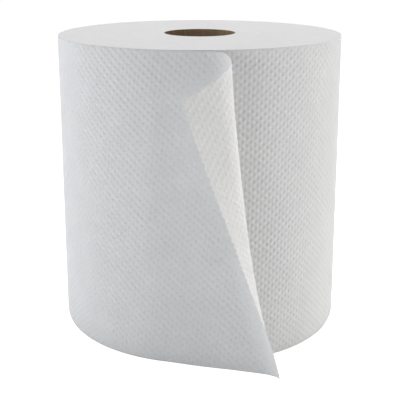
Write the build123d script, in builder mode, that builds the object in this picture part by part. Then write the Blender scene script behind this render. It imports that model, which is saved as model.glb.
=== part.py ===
from build123d import *
from math import cos, radians, sin
import os

# A hardwound roll of embossed paper towel standing on its end, with its loose outer end
# turned over. Millimetres, +Z up, origin on the roll's axis at the face that it stands on.
# The loose end faces -Y. Its sheet leaves the roll near the front, runs on nearly straight
# and then turns back over itself, widely at the top and much less at the base.

# Driving sizes of the roll
roll_width = 203.0             # width of the web, and so the height of the standing roll
roll_diameter = 198.0
core_bore = 48.9
core_wall = 0.8

# Turns on the two end faces: the web wanders a little as it is wound, so that groups of turns
# rise and sink by small amounts between the core and the wall
turn_relief = 0.45             # height difference between the lowest and the highest turn
turn_shares = (0.0, 0.6, 0.1, 1.0, 0.3, 0.8, 0.2, 0.5, 0.0, 0.0)

# Loose end
sheet_thickness = 0.4
peel_angle = 13.1              # where the sheet leaves the roll, in degrees left of the front
peel_lift = 1.0                # degrees by which the sheet leaves the roll's tangent
sheet_sink = 0.2               # depth of the sheet's start below the roll's surface
lead_base = 65.1               # straight run from the roll to the curl, at the base
lead_top = 26.6                # and at the top
lead_power = 0.24
curl_radius = 17.9             # radius at the curl's start
curl_widening = 1.2            # times by which the radius has grown at its end
curl_arcs = 9
curl_turn_base = 31.8          # degrees that the sheet turns back, at the base
curl_turn_top = 138.3          # and at the top
curl_power = 0.3
tail_base = 0.5                # straight run from the curl to the free edge, at the base
tail_top = 25.5                # and at the top
blend_ease = 0.05              # share of the height that keeps the change gentle near the base
section_shares = (0.0, 0.05, 0.15, 0.3, 0.5, 0.75, 1.0)

# Top edge of the turned-over sheet, which falls away from the level of the roll's end face
fall_angle = 17.0              # direction of the fall, in degrees left of the front
fall_offset = 2.0              # gap between the roll and the start of the fall
fall_outs = (0.0, 9.0, 18.0, 27.0, 34.0, 39.0, 43.0, 46.0)
fall_drops = (0.0, 3.0, 6.2, 9.8, 14.4, 17.3, 19.2, 20.2)
fall_slope = 1.2               # drop for each millimetre further out

# Overrun of every cutting tool past the solid that it cuts
overrun = 5.0

roll_radius = roll_diameter / 2
core_bore_radius = core_bore / 2
core_radius = core_bore_radius + core_wall


def blend(base, top, share, power=1.0):
    """Value at a share of the roll's height, running from the base value to the top value."""
    low = blend_ease ** power
    high = (1 + blend_ease) ** power
    return base + (top - base) * ((share + blend_ease) ** power - low) / (high - low)


def plan_direction(degrees_left_of_front):
    """Level unit vector from the axis towards a place on the front of the roll."""
    turn = radians(degrees_left_of_front)
    return Vector(-sin(turn), -cos(turn), 0)


def end_profile():
    """Half section of the wound web: bore, base with its turns, wall, top with its turns."""
    step = (roll_radius - core_radius) / (len(turn_shares) - 1)
    base_line = []
    top_line = []
    for index, share in enumerate(turn_shares):
        radius = core_radius + index * step
        depth = turn_relief * share
        base_line.append((radius, depth))
        top_line.append((radius, roll_width - depth))
    return base_line + top_line[::-1]


def curl(start, direction, turn, outset):
    """Chain of tangent arcs that turn right and widen, for one side of the sheet."""
    arc = JernArc(start, direction, curl_radius + outset, -turn / curl_arcs)
    for index in range(1, curl_arcs):
        radius = curl_radius * curl_widening ** (index / (curl_arcs - 1))
        arc = JernArc(arc @ 1, arc % 1, radius + outset, -turn / curl_arcs)
    return arc


# Cardboard tube, cut flush with the web at both ends
with BuildPart() as core:
    with BuildSketch(Plane.XY):
        Circle(core_radius)
        Circle(core_bore_radius, mode=Mode.SUBTRACT)
    extrude(amount=roll_width)
core.part.label = "core"

# Loose end: one closed section at each height, from the roll along the lead, round the curl
# to the free edge, and back along the side that faces the roll
with BuildPart() as loose_end:
    outward = plan_direction(peel_angle)
    start = outward * (roll_radius - sheet_sink)
    heading = Vector(-outward.Y, outward.X, 0).rotate(Axis.Z, -peel_lift)
    inward = Vector(-heading.Y, heading.X, 0) * sheet_thickness
    for share in section_shares:
        lead_length = blend(lead_base, lead_top, share, lead_power)
        curl_turn = blend(curl_turn_base, curl_turn_top, share, curl_power)
        tail_length = blend(tail_base, tail_top, share)
        with BuildSketch(Plane.XY.offset(share * roll_width)):
            with BuildLine():
                outer_lead = Line(start, start + heading * lead_length)
                outer_curl = curl(outer_lead @ 1, heading, curl_turn, 0)
                outer_tail = Line(outer_curl @ 1, outer_curl @ 1 + (outer_curl % 1) * tail_length)
                inner_lead = Line(start + inward, start + inward + heading * lead_length)
                inner_curl = curl(inner_lead @ 1, heading, curl_turn, sheet_thickness)
                inner_tail = Line(inner_curl @ 1, inner_curl @ 1 + (inner_curl % 1) * tail_length)
                Line(outer_tail @ 1, inner_tail @ 1)
                Line(start, start + inward)
            make_face()
    loft()
    fall_out = plan_direction(fall_angle)
    fall_plane = Plane(
        origin=fall_out * (roll_radius + fall_offset) + Vector(0, 0, roll_width),
        x_dir=fall_out,
        z_dir=fall_out.cross(Vector(0, 0, 1)),
    )
    reach = lead_base + curl_radius + tail_base
    with BuildSketch(fall_plane):
        with BuildLine():
            fall = Spline(*[(out, -drop) for out, drop in zip(fall_outs, fall_drops)])
            Polyline(
                fall @ 1,
                (reach, (fall @ 1).Y - fall_slope * (reach - fall_outs[-1])),
                (reach, overrun),
                (0, overrun),
                (0, 0),
            )
        make_face()
    extrude(amount=reach, both=True, mode=Mode.SUBTRACT)

# Wound web with its loose end
with BuildPart() as paper_roll:
    with BuildSketch(Plane.XZ):
        with BuildLine():
            Polyline(*end_profile(), close=True)
        make_face()
    revolve(axis=Axis.Z)
    add(loose_end.part)
paper_roll.part.label = "paper_roll"

os.makedirs("parts", exist_ok=True)
export_step(core.part, "parts/core.step")
export_step(paper_roll.part, "parts/paper_roll.step")
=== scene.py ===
from math import atan2, cos, pi, radians, sin, tan

import bpy
import numpy as np
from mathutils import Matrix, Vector


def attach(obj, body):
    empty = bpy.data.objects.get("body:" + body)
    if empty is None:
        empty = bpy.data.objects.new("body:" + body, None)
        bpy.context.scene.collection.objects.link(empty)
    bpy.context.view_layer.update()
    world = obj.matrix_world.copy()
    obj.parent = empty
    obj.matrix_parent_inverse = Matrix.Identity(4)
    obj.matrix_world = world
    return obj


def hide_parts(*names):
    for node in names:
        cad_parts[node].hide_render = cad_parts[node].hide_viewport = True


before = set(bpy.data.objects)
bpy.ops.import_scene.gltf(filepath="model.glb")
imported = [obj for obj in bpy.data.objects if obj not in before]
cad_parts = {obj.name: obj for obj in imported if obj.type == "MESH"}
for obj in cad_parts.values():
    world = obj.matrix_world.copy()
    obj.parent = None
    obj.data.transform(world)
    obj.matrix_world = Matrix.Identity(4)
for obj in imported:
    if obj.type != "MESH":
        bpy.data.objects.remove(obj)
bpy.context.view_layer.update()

# Hardwound roll of embossed paper towel, standing on its end, with its loose end turned over.
# Metres, +Z up, origin on the roll's axis at the face that it stands on.

# Sizes of the roll, as in the solid model
HEIGHT = 0.203
RADIUS = 0.099
CORE_RADIUS = 0.02525
TURN_RELIEF = 0.00045
TURN_SHARES = (0.0, 0.6, 0.1, 1.0, 0.3, 0.8, 0.2, 0.5, 0.0, 0.0)

# Loose end, as in the solid model
PEEL_ANGLE = radians(-13.1)
PEEL_LIFT = radians(1.0)
LEAD = (0.0651, 0.0266, 0.24)  # base, top, power
CURL_TURN = (radians(31.8), radians(138.3), 0.3)
TAIL = (0.0005, 0.0255, 1.0)
BLEND_EASE = 0.05
CURL_RADIUS = 0.0179
CURL_WIDENING = 1.2
CURL_ARCS = 9
FALL_ANGLE = radians(-17.0)
FALL_OFFSET = 0.002
FALL_OUTS = (0.0, 0.009, 0.018, 0.027, 0.034, 0.039, 0.043, 0.046)
FALL_DROPS = (0.0, 0.003, 0.0062, 0.0098, 0.0144, 0.0173, 0.0192, 0.0202)
FALL_SLOPE = 1.2

# Loose end, in this scene alone
SHEET_THICKNESS = 0.00028      # thinner than the solid's 0.4 mm
PEEL_EASE = 0.008              # half the length over which the sheet bends away from the wall
SHEET_OVERLAP = 0.014          # length of the sheet that lies on the wall before it leaves it
OVERLAP_SINK = 0.00012         # depth of the sheet's start below the wall
OVERLAP_RISE = 0.00016         # rise from there over the first part of the overlap
SHEET_RIPPLE = 0.00035         # slow unevenness of the free sheet
RIPPLE_START = 0.03            # length over which it sets in
TOOTH_PITCH = 0.0039           # small teeth along the torn free edge
TOOTH_DEPTH = 0.0013
SHEET_SCATTER = 0.00009        # how far light strays inside the sheet, set by level, not measured

# Pressed dots: two to a cell, in rows that lean more and more along the last turn
CELL_WIDTH = 0.00555
CELL_HEIGHT = HEIGHT / 43
LEAN_START = 0.022
LEAN_END = 0.126
DOT_RADIUS = 0.00165
DOT_STRETCH = 1.12
DOT_DEPTH = 0.00026
DOT_BACK_SHARE = 0.75          # share of that depth by which the dots stand out on the sheet's back
DOT_FADE = 0.0012              # height next to an edge over which the dots fade

# Wall and end faces, in this scene alone. The two roundings are set against the
# photograph's shading.
TURN_LENGTH = 2 * pi * RADIUS
STEP = 0.0002                  # one turn's step between the start and the end of the last turn
TOP_RIM = (0.0009, 0.0003)     # height and depth of the rounding next to the top face
BASE_RIM = (0.0030, 0.0008)    # and next to the face that it stands on
RIM_FADE = 0.02                # length over which the loose sheet loses that rounding
WALL_RIPPLE = 0.00005          # slow unevenness of the wall
GROUP_RELIEF = 0.00007         # small steps between groups of turns on the end faces
TURN_RELIEF_FINE = 0.00003     # and between single rings of turns


def blend(values, share):
    """Value at a share of the roll's height, from its base value, top value and power."""
    base, top, power = values
    low = BLEND_EASE ** power
    high = (1 + BLEND_EASE) ** power
    return base + (top - base) * ((share + BLEND_EASE) ** power - low) / (high - low)


# ------------------------------------------------------------------ shape of the paper

def lean_factor():
    """Growth of the rows' lean for each metre round the turn."""
    return (LEAN_END - LEAN_START) / TURN_LENGTH


def dot_cells(s, z):
    """Place in the lattice of dots, counted in cells, at a length s round the turn and a height z."""
    across = (s - LEAN_START * z) / (1 + lean_factor() * z)
    return np.stack([across / CELL_WIDTH, z / CELL_HEIGHT], 1)


def dot_depth(s, z):
    """Depth of the pressed dots, from 0 to 1."""
    cells = dot_cells(s, z)
    depth = np.zeros_like(s)
    for shift in (0.0, 0.5):
        u, v = cells[:, 0] - shift, cells[:, 1] - shift
        du = (u - np.round(u)) * CELL_WIDTH
        dv = (v - np.round(v)) * CELL_HEIGHT / DOT_STRETCH
        r = np.clip(np.hypot(du, dv) / DOT_RADIUS, 0, 1)
        depth = np.maximum(depth, np.cos(r * pi / 2) ** 2)
    return depth


def slow_waves(a, b, seed):
    """Gentle unevenness, between about -1 and 1, from a few long waves."""
    rng = np.random.default_rng(seed)
    total = np.zeros_like(a)
    for _ in range(6):
        fa = rng.integers(1, 6)
        fb = rng.uniform(0.4, 2.5)
        total += np.sin(a * fa + b * fb * 2 * pi + rng.uniform(0, 2 * pi))
    return total / 4


def wall_radius(s):
    """Radius of the outer turn, which grows by one step from its start to its end."""
    return RADIUS - STEP * (1 - np.clip(s / TURN_LENGTH, 0, 1))


def sheet_lengths(z):
    """Straight run, angle turned back and straight end of the loose sheet at a height z."""
    share = np.clip(z / HEIGHT, 0, 1)
    lead = blend(LEAD, share)
    turn = blend(CURL_TURN, share)
    tail = blend(TAIL, share)
    return lead, turn, tail


def arc_radius(index):
    return CURL_RADIUS * CURL_WIDENING ** (index / (CURL_ARCS - 1))


def sheet_length(z):
    lead, turn, tail = sheet_lengths(z)
    arcs = sum(arc_radius(i) * turn / CURL_ARCS for i in range(CURL_ARCS))
    return lead + arcs + tail


def sheet_plan(t, z):
    """Plan position and heading of the sheet's outer face at a length t past the peel line."""
    lead, turn, tail = sheet_lengths(z)
    out = np.array([sin(PEEL_ANGLE), -cos(PEEL_ANGLE)])
    along = np.array([-out[1], out[0]])
    run = np.clip(t, 0, lead)
    slope = tan(PEEL_LIFT)
    ease = 2 * PEEL_EASE
    rise = np.where(run < ease, slope * run ** 2 / (2 * ease), slope * (run - PEEL_EASE))
    pos = RADIUS * out + run[:, None] * along + rise[:, None] * out
    angle = np.arctan(np.where(run < ease, slope * run / ease, slope))
    base_angle = atan2(along[1], along[0])
    heading = base_angle - angle
    rest = np.clip(t - lead, 0, None)
    for i in range(CURL_ARCS):
        r = arc_radius(i)
        part = np.minimum(rest, r * turn / CURL_ARCS)
        a = part / r
        d = np.stack([np.cos(heading), np.sin(heading)], 1)
        right = np.stack([d[:, 1], -d[:, 0]], 1)
        pos = pos + r * (np.sin(a)[:, None] * d + (1 - np.cos(a))[:, None] * right)
        heading = heading - a
        rest = rest - part
    d = np.stack([np.cos(heading), np.sin(heading)], 1)
    pos = pos + rest[:, None] * d
    # Before the peel line the sheet lies on the wall
    before = t < 0
    phi = PEEL_ANGLE + t / RADIUS
    lift = np.clip((t + SHEET_OVERLAP) / (SHEET_OVERLAP * 0.6), 0, 1)
    r = RADIUS - OVERLAP_SINK + OVERLAP_RISE * lift
    wall = np.stack([r * np.sin(phi), -r * np.cos(phi)], 1)
    wall_heading = np.stack([np.cos(phi), np.sin(phi)], 1)
    pos = np.where(before[:, None], wall, pos)
    d = np.where(before[:, None], wall_heading, d)
    return pos, d


def smooth_line(xs, ys, count):
    """Points on a smooth curve through the given ones."""
    xs, ys = np.array(xs), np.array(ys)
    slopes = np.gradient(ys, xs)
    fine = np.linspace(xs[0], xs[-1], count)
    place = np.clip(np.searchsorted(xs, fine) - 1, 0, len(xs) - 2)
    width = xs[place + 1] - xs[place]
    t = (fine - xs[place]) / width
    start = (1 + 2 * t) * (1 - t) ** 2 * ys[place] + t * (1 - t) ** 2 * width * slopes[place]
    end = t ** 2 * (3 - 2 * t) * ys[place + 1] - t ** 2 * (1 - t) * width * slopes[place + 1]
    return fine, start + end


fall_line = smooth_line(FALL_OUTS, FALL_DROPS, 200)


def fall_height(x, y):
    """Height at which the turned-over sheet's top edge was torn, over a plan position."""
    out = (x * sin(FALL_ANGLE) - y * cos(FALL_ANGLE)) - (RADIUS + FALL_OFFSET)
    last = FALL_OUTS[-1]
    drop = np.interp(out, fall_line[0], fall_line[1])
    return HEIGHT - drop - FALL_SLOPE * np.clip(out - last, 0, None)


# ------------------------------------------------------------------ meshes

def build(name, vertices, faces, uv=None, materials=(), face_material=None):
    mesh = bpy.data.meshes.new(name)
    mesh.from_pydata([tuple(v) for v in vertices.tolist()], [], faces)
    mesh.update()
    if uv is not None:
        layer = mesh.uv_layers.new(name="UVMap")
        loops = np.zeros(len(mesh.loops), dtype=np.int64)
        mesh.loops.foreach_get("vertex_index", loops)
        layer.data.foreach_set("uv", uv[loops].astype(np.float32).ravel())
    for material in materials:
        mesh.materials.append(material)
    if face_material is not None:
        mesh.polygons.foreach_set("material_index", np.array(face_material, dtype=np.int32))
    mesh.polygons.foreach_set("use_smooth", np.ones(len(mesh.polygons), dtype=bool))
    mesh.update()
    piece = bpy.data.objects.new(name, mesh)
    bpy.context.scene.collection.objects.link(piece)
    return piece


def rim_depth(z):
    """How far the wall turns in next to an end face."""
    top = 1 - np.clip((HEIGHT - z) / TOP_RIM[0], 0, 1)
    base = 1 - np.clip(z / BASE_RIM[0], 0, 1)
    return TOP_RIM[1] * top ** 2 + BASE_RIM[1] * base ** 2


def make_wall(material):
    """Outer turn: a mesh whose points follow the lattice of pressed dots."""
    rows = round(HEIGHT / (CELL_HEIGHT / 6))
    row_height = HEIGHT / rows
    half = CELL_WIDTH / 6
    # The rows lean, so the lattice reaches past both ends of the turn and is cut back to it
    reach_before, reach_after = 0.04, 0.012
    first = -int(reach_before / (2 * half))
    last = int((TURN_LENGTH + reach_after) / (2 * half))
    count = last - first + 1
    k = np.arange(rows + 1)
    n = np.arange(first, last + 1)
    kk, nn = np.meshgrid(k, n, indexing="ij")
    z = kk * row_height
    across = (2 * nn + kk % 2) * half
    s_raw = across * (1 + lean_factor() * z) + LEAN_START * z
    s = np.clip(s_raw, 0, TURN_LENGTH)
    outside = (s_raw < 0) | (s_raw > TURN_LENGTH)

    def vid(row, col):
        return row * count + col

    faces = []
    for row in range(0, rows - 1):
        odd = row % 2
        cols = np.arange(1, count - 1)
        left = vid(row + 1, cols - 1 + odd)
        right = vid(row + 1, cols + odd)
        low = vid(row, cols)
        high = vid(row + 2, cols)
        faces.append(np.stack([low, right, high, left], 1))
    quads = np.concatenate(faces)
    keep = ~outside.ravel()[quads].all(1)
    quads = quads[keep]
    triangles = []
    for row, other, flip in ((0, 1, False), (rows, rows - 1, True)):
        cols = np.arange(0, count - 1)
        mid = vid(other, cols) if row % 2 == 0 else vid(other, cols + 1)
        tri = np.stack([vid(row, cols), vid(row, cols + 1), mid], 1)
        if flip:
            tri = tri[:, ::-1]
        triangles.append(tri)
    triangles = np.concatenate(triangles)
    triangles = triangles[~outside.ravel()[triangles].all(1)]

    s = s.ravel()
    z = z.ravel()
    used = np.zeros(len(s), dtype=bool)
    used[quads.ravel()] = True
    used[triangles.ravel()] = True
    index = np.cumsum(used) - 1
    s, z = s[used], z[used]
    faces = index[quads].tolist() + index[triangles].tolist()

    edge = np.minimum(z, HEIGHT - z)
    fade = np.clip(edge / DOT_FADE, 0, 1)
    phi = PEEL_ANGLE + s / RADIUS
    r = wall_radius(s) - rim_depth(z) - DOT_DEPTH * dot_depth(s, z) * fade
    r = r + WALL_RIPPLE * slow_waves(phi, z / HEIGHT, 3) * fade
    vertices = np.stack([r * np.sin(phi), -r * np.cos(phi), z], 1)
    return build("roll_wall", vertices, faces, dot_cells(s, z), (material,))


def turn_profile(r):
    """Depth of the end face at a radius, as in the solid model."""
    share = np.clip((r - CORE_RADIUS) / (RADIUS - CORE_RADIUS), 0, 1)
    places = np.linspace(0, 1, len(TURN_SHARES))
    return TURN_RELIEF * np.interp(share, places, TURN_SHARES)


def make_turns(name, top, material, seed):
    """End face: the edges of the wound turns, in groups that rise and sink."""
    rings, segments = 150, 240
    rng = np.random.default_rng(seed)
    share = np.linspace(0, 1, rings + 1)
    phi = np.arange(segments) * 2 * pi / segments
    s = (phi - PEEL_ANGLE) % (2 * pi) * RADIUS
    outer = wall_radius(s) - rim_depth(HEIGHT if top else 0.0)
    pp, ss = np.meshgrid(phi, share)
    r = CORE_RADIUS + ss * (outer[None, :] - CORE_RADIUS)
    groups = np.cumsum(rng.normal(0, 1, rings + 1))
    groups = groups - np.convolve(groups, np.ones(25) / 25, "same")
    fine = groups / np.abs(groups).max() * GROUP_RELIEF
    fine = fine + rng.uniform(-1, 1, rings + 1) * TURN_RELIEF_FINE
    drift = 1 + 0.35 * np.sin(pp + 6 * ss + seed) * np.sin(2 * pp - 4 * ss)
    depth = turn_profile(r) * drift + np.abs(fine)[:, None] * (0.7 + 0.3 * np.sin(pp * 3 + ss * 9))
    fade = np.clip((1 - ss) * rings / 3, 0, 1) * np.clip(ss * rings / 2, 0, 1)
    depth = depth * fade
    z = HEIGHT - depth if top else depth
    vertices = np.stack([r * np.sin(pp), -r * np.cos(pp), z], 2).reshape(-1, 3)
    faces = []
    for i in range(rings):
        a = i * segments + np.arange(segments)
        b = i * segments + (np.arange(segments) + 1) % segments
        c, d = b + segments, a + segments
        quad = np.stack([a, d, c, b], 1)
        faces.append(quad if not top else quad[:, ::-1])
    faces = np.concatenate(faces).tolist()
    return build(name, vertices, faces, None, (material,))


def make_sheet(outer_material, back_material):
    """Loose end: two faces a paper's thickness apart, pressed together into dots."""
    nu, nv = 150, 290
    u = np.linspace(0, 1, nu + 1)
    v = np.linspace(0, 1, nv + 1)

    def length_at(uu, z):
        tooth = np.abs((z / TOOTH_PITCH) % 1.0 * 2 - 1) - 0.5
        scallop = TOOTH_DEPTH * tooth * np.clip(uu * 40 - 39, 0, 1)
        return -SHEET_OVERLAP + uu * (sheet_length(z) + SHEET_OVERLAP) + scallop

    low = np.full(nu + 1, HEIGHT * 0.5)
    high = np.full(nu + 1, HEIGHT)
    for _ in range(40):
        mid = (low + high) / 2
        pos, _d = sheet_plan(length_at(u, mid), mid)
        over = mid > fall_height(pos[:, 0], pos[:, 1])
        high = np.where(over, mid, high)
        low = np.where(over, low, mid)
    top = low
    top[length_at(u, np.full(nu + 1, HEIGHT)) < 0.0] = HEIGHT

    vv, uu = np.meshgrid(v, u, indexing="ij")
    z = (vv * top[None, :]).ravel()
    uu = uu.ravel()
    t = length_at(uu, z)
    pos, d = sheet_plan(t, z)
    left = np.stack([-d[:, 1], d[:, 0]], 1)
    depth = dot_depth(TURN_LENGTH + t, z)
    edge = np.minimum(z, np.tile(top, nv + 1) - z)
    depth = depth * np.clip(edge / DOT_FADE, 0, 1)
    free = np.clip(t / RIPPLE_START, 0, 1)
    ripple = SHEET_RIPPLE * free * slow_waves(t * 30, z / HEIGHT * 2, 8)
    attached = np.clip(1 - t / RIM_FADE, 0, 1)
    common = ripple + rim_depth(z) * attached
    shift_a = depth * DOT_DEPTH + common
    shift_b = SHEET_THICKNESS + depth * DOT_DEPTH * DOT_BACK_SHARE + common
    face_a = pos + left * shift_a[:, None]
    face_b = pos + left * shift_b[:, None]
    vert_a = np.column_stack([face_a, z])
    vert_b = np.column_stack([face_b, z])
    count = len(z)
    cols = nu + 1
    i, j = np.meshgrid(np.arange(nv), np.arange(nu), indexing="ij")
    a = (i * cols + j).ravel()
    quad_a = np.stack([a, a + 1, a + cols + 1, a + cols], 1)
    quad_b = quad_a[:, ::-1] + count
    base = np.arange(nu)
    crest = nv * cols + base
    side = np.arange(nv) * cols
    free_side = side + nu
    rims = [
        np.stack([base, base + count, base + 1 + count, base + 1], 1),
        np.stack([crest, crest + 1, crest + 1 + count, crest + count], 1),
        np.stack([side, side + cols, side + cols + count, side + count], 1),
        np.stack([free_side, free_side + count, free_side + cols + count, free_side + cols], 1),
    ]
    rim_faces = np.concatenate(rims)
    faces = np.concatenate([quad_a, quad_b, rim_faces])
    kinds = [0] * len(quad_a) + [1] * len(quad_b) + [1] * len(rim_faces)
    uv = dot_cells(TURN_LENGTH + t, z)
    uv = np.concatenate([uv, uv])
    vertices = np.concatenate([vert_a, vert_b])
    return build("loose_sheet", vertices, faces.tolist(), uv, (outer_material, back_material), kinds)


# ------------------------------------------------------------------ materials

# Colours and depths. The dots are pressed in on the outer face and stand out on the back. Their bump
# is weaker on the loose sheet's face, where the photograph shows hardly any dots. All were set
# against the photograph, by level.
FACE = ((0.745, 0.747, 0.75), (0.71, 0.712, 0.716))
BACK = ((0.78, 0.779, 0.774), (0.75, 0.749, 0.744))
EDGES = ((0.84, 0.84, 0.838), (0.885, 0.885, 0.883))
KRAFT = ((0.25, 0.17, 0.10), (0.41, 0.30, 0.19))
WALL_BUMP = -0.00036
SHEET_BUMP = -0.0002
BACK_BUMP = 0.00032
SEAM_RISE = 0.105              # height that the tube's seam gains in one turn
SEAM_HALF = 0.008              # half the seam's width, as a share of that height
FLOOR_GLOW = 0.9               # white of the floor as the camera sees it
FLOOR_PAINTED_GLOW = 0.22            # painted light: glow that the floor sends up at the object, standing in for its bounce
# Distances from the axis over which that glow sets in; its lack near the roll paints shade on the roll's
# foot
FOOT_INNER, FOOT_OUTER = 0.098, 0.118


class Nodes:
    """Shorthand for wiring one material."""

    def __init__(self, name):
        self.material = bpy.data.materials.new(name)
        self.material.use_nodes = True
        self.tree = self.material.node_tree
        self.shader = self.tree.nodes["Principled BSDF"]
        self.output = self.tree.nodes["Material Output"]

    def add(self, kind, inputs=None, **settings):
        node = self.tree.nodes.new(kind)
        for key, value in settings.items():
            setattr(node, key, value)
        for key, value in (inputs or {}).items():
            self.put(node.inputs[key], value)
        return node

    def put(self, socket, value):
        if isinstance(value, bpy.types.NodeSocket):
            self.tree.links.new(value, socket)
        else:
            socket.default_value = value

    def math(self, operation, *values):
        node = self.tree.nodes.new("ShaderNodeMath")
        node.operation = operation
        for socket, value in zip(node.inputs, values):
            self.put(socket, value)
        return node.outputs[0]

    def noise(self, vector, scale, detail=2.0, roughness=0.5):
        inputs = {"Vector": vector, "Scale": scale, "Detail": detail, "Roughness": roughness}
        node = self.add("ShaderNodeTexNoise", inputs)
        return node.outputs["Fac"]

    def mix(self, factor, a, b):
        node = self.tree.nodes.new("ShaderNodeMix")
        node.data_type = "RGBA"
        self.put(node.inputs[0], factor)
        self.put(node.inputs[6], a)
        self.put(node.inputs[7], b)
        return node.outputs[2]

    def bump(self, height, strength, distance, normal=None):
        node = self.add("ShaderNodeBump", {"Height": height, "Strength": strength, "Distance": distance})
        if normal is not None:
            self.put(node.inputs["Normal"], normal)
        return node.outputs["Normal"]


def dot_height(n, uv):
    """Height of the pressed dots in the shader, from 0 between them to 1 at their middles."""
    heights = []
    for shift in (0.5, 0.0):
        moved = n.add("ShaderNodeVectorMath", {0: uv, 1: (shift, shift, 0)}, operation="ADD")
        part = n.add("ShaderNodeVectorMath", {0: moved.outputs[0]}, operation="FRACTION")
        centred = n.add("ShaderNodeVectorMath", {0: part.outputs[0], 1: (0.5, 0.5, 0)}, operation="SUBTRACT")
        size = (CELL_WIDTH / DOT_RADIUS, CELL_HEIGHT / DOT_STRETCH / DOT_RADIUS, 0)
        scaled = n.add("ShaderNodeVectorMath", {0: centred.outputs[0], 1: size}, operation="MULTIPLY")
        length = n.add("ShaderNodeVectorMath", {0: scaled.outputs[0]}, operation="LENGTH").outputs["Value"]
        limits = {"Value": length, "To Min": 1.0, "To Max": 0.0}
        profile = n.add("ShaderNodeMapRange", limits, interpolation_type="SMOOTHSTEP")
        heights.append(profile.outputs["Result"])
    return n.math("MAXIMUM", *heights)


def paper(name, light, dark, dots, rib=0.0, thin=False):
    """Embossed paper: fibres and clouds of two tones, and a bump that deepens the meshed dots."""
    n = Nodes(name)
    coords = n.add("ShaderNodeTexCoord").outputs["Object"]
    uv = n.add("ShaderNodeTexCoord").outputs["UV"]
    fibre = n.noise(coords, 1400.0, 3.0, 0.65)
    cloud = n.noise(coords, 55.0, 2.0, 0.5)
    tone = n.math("ADD", n.math("MULTIPLY", fibre, 0.45), n.math("MULTIPLY", cloud, 0.55))
    ramp = n.add("ShaderNodeMapRange", {"Value": tone, "From Min": 0.35, "From Max": 0.65})
    colour = n.mix(ramp.outputs["Result"], (*dark, 1), (*light, 1))
    n.put(n.shader.inputs["Base Color"], colour)
    n.shader.inputs["Roughness"].default_value = 0.92
    n.shader.inputs["Specular IOR Level"].default_value = 0.25
    if thin:
        n.shader.inputs["Subsurface Weight"].default_value = 1.0
        n.shader.inputs["Subsurface Radius"].default_value = (1.0, 1.0, 1.0)
        n.shader.inputs["Subsurface Scale"].default_value = SHEET_SCATTER
    n.shader.inputs["Sheen Weight"].default_value = 0.08
    n.shader.inputs["Sheen Roughness"].default_value = 0.6
    coarse = n.noise(coords, 420.0, 2.0, 0.5)
    height = n.math("ADD", n.math("MULTIPLY", fibre, 0.6), n.math("MULTIPLY", coarse, 0.4))
    normal = n.bump(height, 0.22, 0.0004)
    pressed = dot_height(n, uv)
    normal = n.bump(pressed, 1.0, dots, normal)
    if rib:
        stretched = n.add("ShaderNodeMapping", {"Vector": uv, "Scale": (8.0, 0.4, 1.0)}).outputs["Vector"]
        ribs = n.noise(stretched, 1.0, 2.0, 0.5)
        normal = n.bump(ribs, rib, 0.0005, normal)
    n.put(n.shader.inputs["Normal"], normal)
    return n.material


def turns_material():
    """Edges of the wound turns: fine rings, and groups of them, round the axis."""
    n = Nodes("turn_edges")
    coords = n.add("ShaderNodeTexCoord").outputs["Object"]
    parts = n.add("ShaderNodeSeparateXYZ", {"Vector": coords})
    x, y = parts.outputs["X"], parts.outputs["Y"]
    radius = n.math("SQRT", n.math("ADD", n.math("MULTIPLY", x, x), n.math("MULTIPLY", y, y)))
    line = n.add("ShaderNodeCombineXYZ", {"X": radius}).outputs["Vector"]
    turns = n.noise(line, 4200.0, 2.0, 0.6)
    groups = n.noise(line, 330.0, 3.0, 0.6)
    drift = n.noise(coords, 38.0, 2.0, 0.5)
    small = n.math("ADD", n.math("MULTIPLY", turns, 0.25), n.math("MULTIPLY", drift, 0.25))
    tone = n.math("ADD", n.math("MULTIPLY", groups, 0.5), small)
    ramp = n.add("ShaderNodeMapRange", {"Value": tone, "From Min": 0.36, "From Max": 0.64})
    colour = n.mix(ramp.outputs["Result"], (*EDGES[0], 1), (*EDGES[1], 1))
    n.put(n.shader.inputs["Base Color"], colour)
    n.shader.inputs["Roughness"].default_value = 0.95
    n.shader.inputs["Specular IOR Level"].default_value = 0.2
    fibre = n.noise(coords, 1600.0, 2.0, 0.6)
    height = n.math("ADD", n.math("MULTIPLY", turns, 0.7), n.math("MULTIPLY", fibre, 0.3))
    n.put(n.shader.inputs["Normal"], n.bump(height, 0.3, 0.0004))
    return n.material


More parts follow.
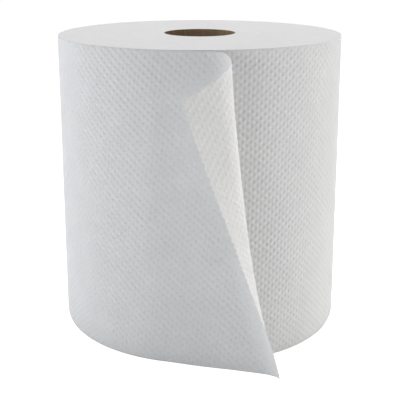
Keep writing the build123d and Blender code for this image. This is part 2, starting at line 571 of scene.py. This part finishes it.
def kraft_material():
    """Brown board of the tube, with the spiral seam between its plies."""
    n = Nodes("kraft_tube")
    coords = n.add("ShaderNodeTexCoord").outputs["Object"]
    parts = n.add("ShaderNodeSeparateXYZ", {"Vector": coords})
    turn = n.math("DIVIDE", n.math("ARCTAN2", parts.outputs["Y"], parts.outputs["X"]), 2 * pi)
    rise = n.math("DIVIDE", parts.outputs["Z"], SEAM_RISE)
    place = n.math("FRACT", n.math("ADD", n.math("ADD", turn, rise), 1.0))
    near = n.math("ABSOLUTE", n.math("SUBTRACT", place, 0.5))
    seam = n.math("LESS_THAN", near, SEAM_HALF)
    stretched = n.add("ShaderNodeMapping", {"Vector": coords, "Scale": (300.0, 300.0, 60.0)})
    fibres = n.noise(stretched.outputs["Vector"], 1.0, 4.0, 0.65)
    specks = n.noise(coords, 900.0, 2.0, 0.7)
    tone = n.math("ADD", n.math("MULTIPLY", fibres, 0.7), n.math("MULTIPLY", specks, 0.3))
    ramp = n.add("ShaderNodeMapRange", {"Value": tone, "From Min": 0.3, "From Max": 0.7})
    colour = n.mix(ramp.outputs["Result"], (*KRAFT[0], 1), (*KRAFT[1], 1))
    colour = n.mix(n.math("MULTIPLY", seam, 0.6), colour, (0.13, 0.085, 0.05, 1))
    n.put(n.shader.inputs["Base Color"], colour)
    n.shader.inputs["Roughness"].default_value = 0.8
    n.shader.inputs["Specular IOR Level"].default_value = 0.3
    height = n.math("SUBTRACT", n.math("MULTIPLY", fibres, 0.5), seam)
    n.put(n.shader.inputs["Normal"], n.bump(height, 0.35, 0.0004))
    return n.material


def floor_material():
    """Pale floor that shows white to the camera and still takes the object's soft shadow. To other rays it
    glows up at the object as painted light, except next to the roll, whose foot so gets painted shade.
    """
    n = Nodes("pale_floor")
    n.tree.nodes.remove(n.shader)
    path = n.add("ShaderNodeLightPath")
    mirrored = n.math("MAXIMUM", path.outputs["Is Glossy Ray"], path.outputs["Is Transmission Ray"])
    seen = n.math("MAXIMUM", path.outputs["Is Camera Ray"], mirrored)
    grain = n.noise(n.add("ShaderNodeTexCoord").outputs["Object"], 6.0)
    colour = n.mix(grain, (0.84, 0.84, 0.84, 1), (0.86, 0.86, 0.86, 1))
    diffuse = n.add("ShaderNodeBsdfDiffuse", {"Color": colour})
    place = n.add("ShaderNodeTexCoord").outputs["Object"]
    away = n.add("ShaderNodeVectorMath", {0: place}, operation="LENGTH").outputs["Value"]
    # Painted light: to rays other than the camera's the floor glows up at the object, and not next to the
    # roll, which paints shade on the roll's foot.
    limits = {"Value": away, "From Min": FOOT_INNER, "From Max": FOOT_OUTER, "To Max": FLOOR_PAINTED_GLOW}
    near = n.add("ShaderNodeMapRange", limits)
    painted_glow = n.math("MULTIPLY", near.outputs["Result"], n.math("SUBTRACT", 1.0, seen))
    strength = n.math("MULTIPLY_ADD", seen, FLOOR_GLOW, painted_glow)
    glow = n.add("ShaderNodeEmission", {"Color": (1, 1, 1, 1), "Strength": strength})
    both = n.add("ShaderNodeAddShader")
    n.tree.links.new(diffuse.outputs[0], both.inputs[0])
    n.tree.links.new(glow.outputs[0], both.inputs[1])
    n.tree.links.new(both.outputs[0], n.output.inputs["Surface"])
    return n.material


# ------------------------------------------------------------------ the pieces

towel = paper("towel_paper", *FACE, WALL_BUMP)
towel_sheet = paper("towel_paper_sheet", *FACE, SHEET_BUMP, thin=True)
towel_back = paper("towel_paper_back", *BACK, BACK_BUMP, rib=0.3, thin=True)
edges = turns_material()

wall = make_wall(towel)
top_turns = make_turns("turns_top", True, edges, 11)
base_turns = make_turns("turns_base", False, edges, 23)
sheet = make_sheet(towel_sheet, towel_back)
for piece in (wall, top_turns, base_turns, sheet):
    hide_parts("paper_roll")
    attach(piece, "root")

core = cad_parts["core"]
kraft = kraft_material()
for slot in core.material_slots:
    slot.material = kraft

# ------------------------------------------------------------------ stage, light and camera

FLOOR_REACH = 6
FLOOR_DROP = 0.0002            # keeps the floor clear of the lower end face
floor_mesh = bpy.data.meshes.new("floor")
corners = [(-1, -1), (1, -1), (1, 1), (-1, 1)]
floor_mesh.from_pydata([(x * FLOOR_REACH, y * FLOOR_REACH, 0) for x, y in corners], [], [(0, 1, 2, 3)])
floor_mesh.materials.append(floor_material())
floor = bpy.data.objects.new("floor", floor_mesh)
bpy.context.scene.collection.objects.link(floor)
floor.location.z = -FLOOR_DROP


def lamp(name, place, aim, size, power, colour):
    data = bpy.data.lights.new(name, "AREA")
    data.shape = "RECTANGLE"
    data.size, data.size_y = size
    data.energy = power
    data.color = colour
    thing = bpy.data.objects.new(name, data)
    thing.location = place
    thing.rotation_euler = (Vector(aim) - Vector(place)).to_track_quat("-Z", "Y").to_euler()
    bpy.context.scene.collection.objects.link(thing)


WORLD_LEVEL = 0.114            # light that the object gets from all round
COOL = (0.945, 0.967, 1.0)
WARM = (1.0, 0.983, 0.958)
PLAIN = (1.0, 0.995, 1.0)
# Name, place, aim, width and height, watts, colour. The watts were fitted to the photograph's
# levels and then changed.
LAMPS = (
    ("left_panel", (-1.5, 0.0, 0.45), (0, 0, 0.1), (0.9, 1.0), 5.15, COOL),
    ("left_rear", (-1.3, 0.75, 0.45), (0, 0, 0.1), (0.9, 1.0), 4.75, COOL),
    ("left_low", (-1.3, 0.75, 0.11), (0, 0, 0.11), (0.9, 0.2), 2.87, COOL),
    ("left_front", (-0.86, -1.23, 0.3), (0, 0, 0.1), (0.9, 0.6), 4.85, COOL),
    ("right_low", (1.5, 0.0, 0.11), (0, 0, 0.11), (0.9, 0.2), 9.3, WARM),
    ("right_rear", (1.3, 0.75, 0.11), (0, 0, 0.11), (0.9, 0.2), 0.88, WARM),
    ("right_panel", (1.3, -0.75, 0.45), (0, 0, 0.1), (0.9, 1.0), 0.5, WARM),
    ("right_front", (0.86, -1.23, 0.3), (0, 0, 0.1), (0.9, 0.6), 0.8, WARM),
    ("back_panel", (0.2, 0.55, 1.55), (0, 0, 0.1), (1.2, 0.7), 11.0, PLAIN),
    ("top_panel", (0.3, -0.3, 1.45), (0, 0, 0.1), (1.2, 1.2), 4.8, PLAIN),
)
for entry in LAMPS:
    lamp(*entry)

# The world is white to the camera and in reflections, and gives the object less light than that
world = bpy.data.worlds.new("studio")
world.use_nodes = True
bpy.context.scene.world = world
tree = world.node_tree
tree.nodes.clear()
path = tree.nodes.new("ShaderNodeLightPath")
ambient = tree.nodes.new("ShaderNodeBackground")
ambient.inputs["Color"].default_value = (1.0, 1.0, 1.0, 1)
ambient.inputs["Strength"].default_value = WORLD_LEVEL
white = tree.nodes.new("ShaderNodeBackground")
white.inputs["Color"].default_value = (1, 1, 1, 1)
white.inputs["Strength"].default_value = 1.0
seen = tree.nodes.new("ShaderNodeMath")
seen.operation = "MAXIMUM"
tree.links.new(path.outputs["Is Camera Ray"], seen.inputs[0])
tree.links.new(path.outputs["Is Transmission Ray"], seen.inputs[1])
seen_all = tree.nodes.new("ShaderNodeMath")
seen_all.operation = "MAXIMUM"
tree.links.new(seen.outputs[0], seen_all.inputs[0])
tree.links.new(path.outputs["Is Glossy Ray"], seen_all.inputs[1])
mix = tree.nodes.new("ShaderNodeMixShader")
tree.links.new(seen_all.outputs[0], mix.inputs[0])
tree.links.new(ambient.outputs[0], mix.inputs[1])
tree.links.new(white.outputs[0], mix.inputs[2])
world_output = tree.nodes.new("ShaderNodeOutputWorld")
tree.links.new(mix.outputs[0], world_output.inputs["Surface"])

# The photograph's own shift is larger, but other views keep the shift, so this one is smaller
CAMERA_TILT = 13.343           # degrees below level
CAMERA_PLACE = (0.0022, -0.5892, 0.26487)
CAMERA_SHIFT = (-0.0073, -0.15)
camera_data = bpy.data.cameras.new("camera")
camera_data.sensor_width = 36.0
camera_data.lens = 75.0
camera_data.shift_x, camera_data.shift_y = CAMERA_SHIFT
camera = bpy.data.objects.new("camera", camera_data)
camera.location = CAMERA_PLACE
camera.rotation_euler = (radians(90 - CAMERA_TILT), 0, 0)
bpy.context.scene.collection.objects.link(camera)
bpy.context.scene.camera = camera

bpy.context.scene.view_settings.view_transform = "Standard"
